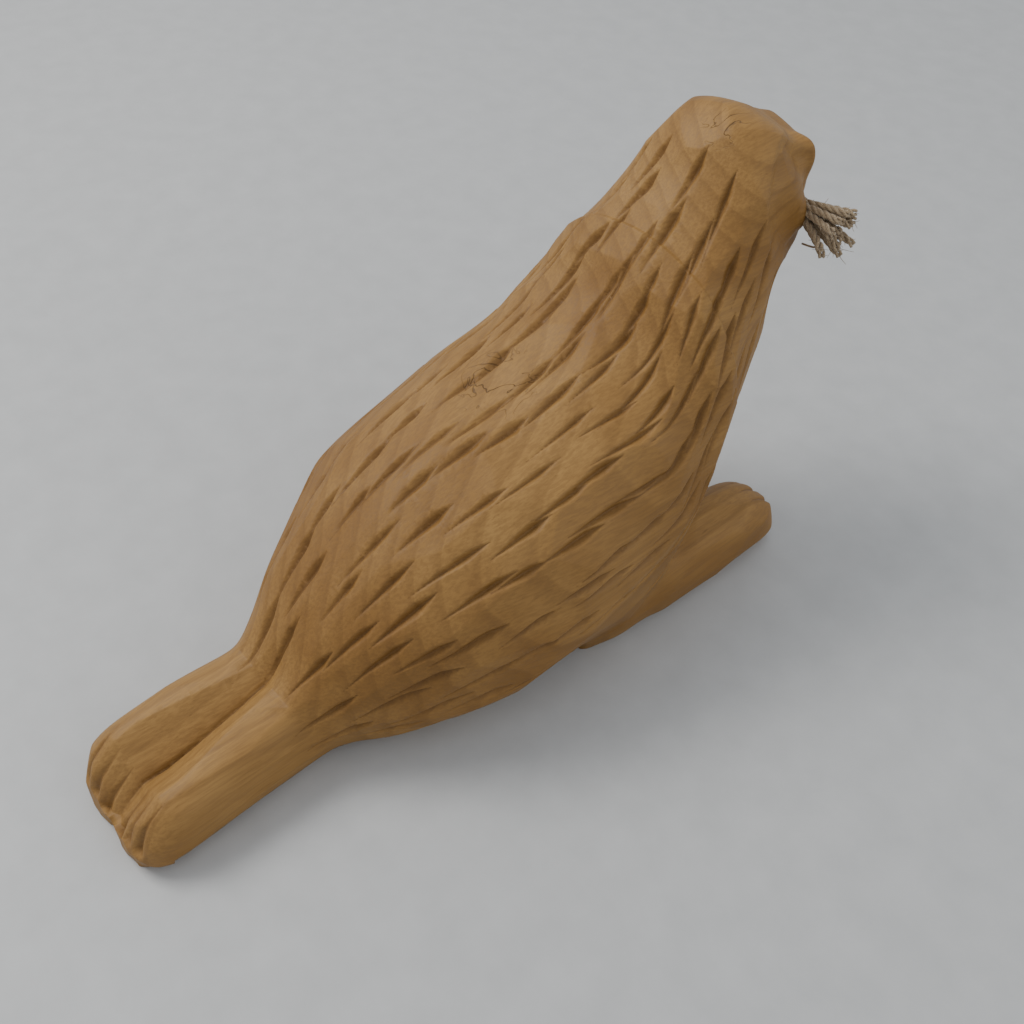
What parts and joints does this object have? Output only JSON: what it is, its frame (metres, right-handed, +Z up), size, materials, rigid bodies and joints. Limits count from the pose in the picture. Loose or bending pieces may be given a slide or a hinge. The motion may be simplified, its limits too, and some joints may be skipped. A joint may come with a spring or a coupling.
{
  "type": "seal-shaped vessel flute",
  "caption": "Small wooden vessel flute carved as a resting seal, with a hollow body closed by a belly board, tail mouthpiece, bead eyes and twine whiskers.",
  "frame": {"origin": "centre of the footprint, on the plane that the flat belly rests on", "axes": "+Y from the nose to the tail tips, +Z up through the back, +X to the animal's left"},
  "size_m": [0.084, 0.212, 0.1242],
  "materials": {
    "carved_wood": "satin",
    "board_wood": "satin",
    "block_wood": "matte",
    "eye": "gloss",
    "twine": "rough"
  },
  "bodies": {
    "root": {"carved_body": "carved_wood", "belly_board": "board_wood", "fipple_block": "block_wood", "eye_left": "eye", "eye_right": "eye", "whisker_tuft_left": "twine", "whisker_tuft_right": "twine"}
  },
  "joints": []
}
